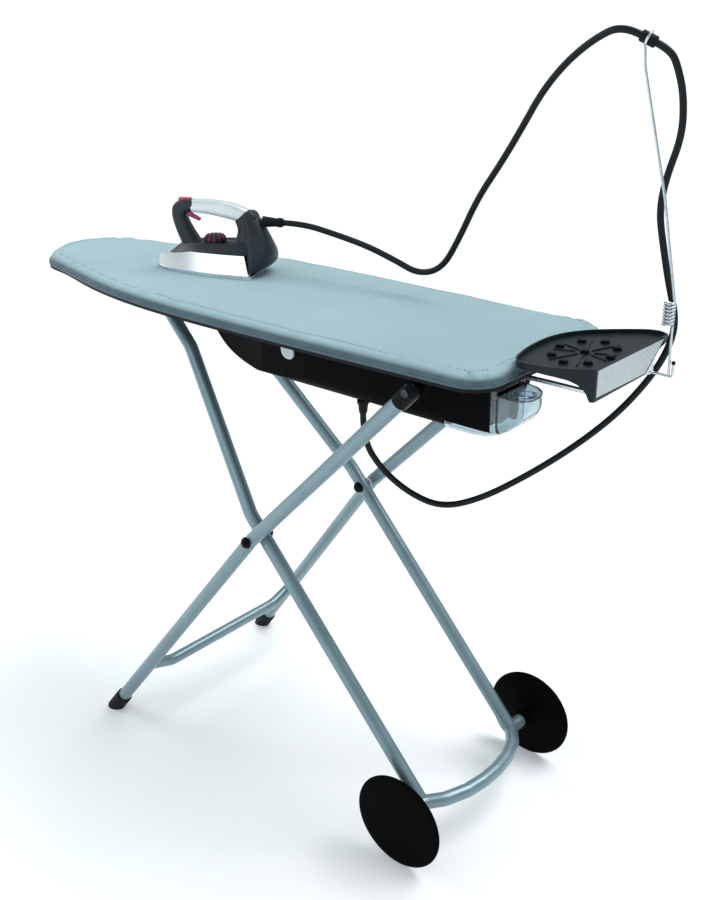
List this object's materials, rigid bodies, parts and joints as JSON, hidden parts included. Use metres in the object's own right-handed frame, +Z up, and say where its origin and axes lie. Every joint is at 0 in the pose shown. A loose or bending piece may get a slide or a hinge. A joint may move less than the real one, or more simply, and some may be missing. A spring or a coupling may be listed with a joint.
{
  "type": "steam ironing board",
  "caption": "Folding ironing board on crossed tube legs with wheels, steam housing, iron on a hose, hose mast and iron rest.",
  "frame": {"origin": "floor level under the middle of the bounding box, hoses left out", "axes": "+X along the board to the iron rest and wheels, +Y across to the far side, +Z up"},
  "size_m": [1.2812, 0.4598, 1.3373],
  "materials": {
    "cover_cloth": "woven",
    "felt": "matte",
    "black_paint": "satin",
    "tube_paint": "satin",
    "black_plastic": "satin",
    "clear_plastic": "gloss",
    "white_plastic": "satin",
    "grey_plastic": "satin",
    "red_plastic": "gloss",
    "pink_plastic": "gloss",
    "silver_plastic": "satin",
    "rubber": "matte",
    "silicone": "matte",
    "hose_rubber": "matte",
    "steel": "brushed",
    "chrome": "polished",
    "aluminium": "brushed",
    "nylon": "matte",
    "circuit_board": "gloss",
    "panel_print": "matte"
  },
  "bodies": {
    "front_legs": {"front_leg_near": "tube_paint", "front_leg_far": "tube_paint", "front_crossbar": "tube_paint", "leg_top_caps": "black_plastic", "foot_caps": "rubber"},
    "rear_legs": {"rear_leg_near": "tube_paint", "rear_leg_far": "tube_paint", "axle_bow": "tube_paint", "centre_bolts": "steel", "pivot_spacers": "nylon", "ball_caps": "black_plastic", "slide_axle": "steel", "slide_bushes": "nylon"},
    "wheel_near_body": {"wheel_near": "black_plastic"},
    "wheel_far_body": {"wheel_far": "black_plastic"},
    "tank": {"water_tank": "clear_plastic"},
    "cap": {"tank_cap": "black_plastic"},
    "fan": {"fan_impeller": "nylon"},
    "lever": {"height_lever": "grey_plastic"},
    "switch": {"rocker_switch": "red_plastic"},
    "iron": {"iron_soleplate": "aluminium", "iron_skirt": "chrome", "iron_body": "black_plastic", "iron_handle": "black_plastic", "iron_grip": "silver_plastic", "iron_rear_cover": "black_plastic", "iron_gland": "rubber"},
    "dial": {"iron_dial": "black_plastic"},
    "button": {"steam_button": "red_plastic"},
    "trigger": {"steam_trigger": "pink_plastic"},
    "board": {"board_cover": "cover_cloth", "pad_underlay": "felt", "board_deck": "black_paint", "housing_shell": "black_plastic", "end_cowl": "clear_plastic", "rear_bulkhead": "black_plastic", "drain_cap": "white_plastic", "valve_knob": "black_plastic", "boiler": "steel", "pump": "black_plastic", "steam_valve": "steel", "fan_motor": "steel", "control_board": "circuit_board", "power_inlet": "black_plastic", "slide_rail": "steel", "pivot_brackets": "black_paint", "top_pivot_bolts": "chrome", "rest_tray": "black_plastic", "rest_studs": "silicone", "rest_rods": "steel", "rest_panel": "panel_print", "mast_bracket": "steel", "mast_tip": "rubber", "mast_lower": "steel", "mast_spring": "steel", "mast_upper": "steel", "hose_collar": "rubber", "hose_gland": "rubber", "hose_upper": "hose_rubber", "hose_lower": "hose_rubber"}
  },
  "joints": [
    {"name": "fold", "type": "hinge", "parent": "board", "child": "front_legs", "pos_m": [0.3714, 0, 0.844], "axis": [0, 1, 0], "range_deg": [-5, 30], "deforming": ["hose_lower"]},
    {"name": "leg_cross", "type": "hinge", "parent": "front_legs", "child": "rear_legs", "pos_m": [0.0154, 0, 0.4797], "axis": [0, 1, 0], "range_deg": [-60, 10]},
    {"name": "wheel_near_spin", "type": "hinge", "parent": "rear_legs", "child": "wheel_near_body", "pos_m": [0.3764, -0.19, 0.0847], "axis": [0, 1, 0], "continuous": true},
    {"name": "wheel_far_spin", "type": "hinge", "parent": "rear_legs", "child": "wheel_far_body", "pos_m": [0.3764, 0.19, 0.0847], "axis": [0, 1, 0], "continuous": true},
    {"name": "tank_slide", "type": "slide", "parent": "board", "child": "tank", "axis": [1, 0, 0], "range_m": [0, 0.11]},
    {"name": "tank_cap_lift", "type": "slide", "parent": "tank", "child": "cap", "axis": [0, 0, 1], "range_m": [0, 0.03]},
    {"name": "fan_spin", "type": "hinge", "parent": "board", "child": "fan", "pos_m": [0.0754, 0, 0.82], "axis": [0, 0, 1], "continuous": true},
    {"name": "height_lever_pull", "type": "hinge", "parent": "board", "child": "lever", "pos_m": [0.0754, -0.128, 0.848], "axis": [-1, 0, 0], "range_deg": [0, 25], "stiffness_Nm_per_rad": 0.5, "springref_deg": -5.73},
    {"name": "mains_switch", "type": "hinge", "parent": "board", "child": "switch", "pos_m": [0.2434, 0.114, 0.801], "axis": [0, 0, 1], "range_deg": [-6, 6]},
    {"name": "iron_glide", "type": "slide", "parent": "board", "child": "iron", "axis": [1, 0, 0], "range_m": [-0.12, 0.25], "deforming": ["hose_upper"]},
    {"name": "dial_turn", "type": "hinge", "parent": "iron", "child": "dial", "pos_m": [-0.23298, 0.01391, 0.9393], "axis": [0, 0, 1], "range_deg": [-135, 135]},
    {"name": "steam_press", "type": "slide", "parent": "iron", "child": "button", "axis": [0, 0, -1], "range_m": [0, 0.002], "stiffness_N_per_m": 600, "springref_m": -0.001},
    {"name": "trigger_pull", "type": "hinge", "parent": "iron", "child": "trigger", "pos_m": [-0.27848, -0.00634, 0.9933], "axis": [0.4067, -0.9135, 0], "range_deg": [0, 12], "stiffness_Nm_per_rad": 0.05, "springref_deg": -17.19}
  ],
  "couplings": [
    {"joint": "leg_cross", "follows": "fold", "ratio": -2}
  ]
}
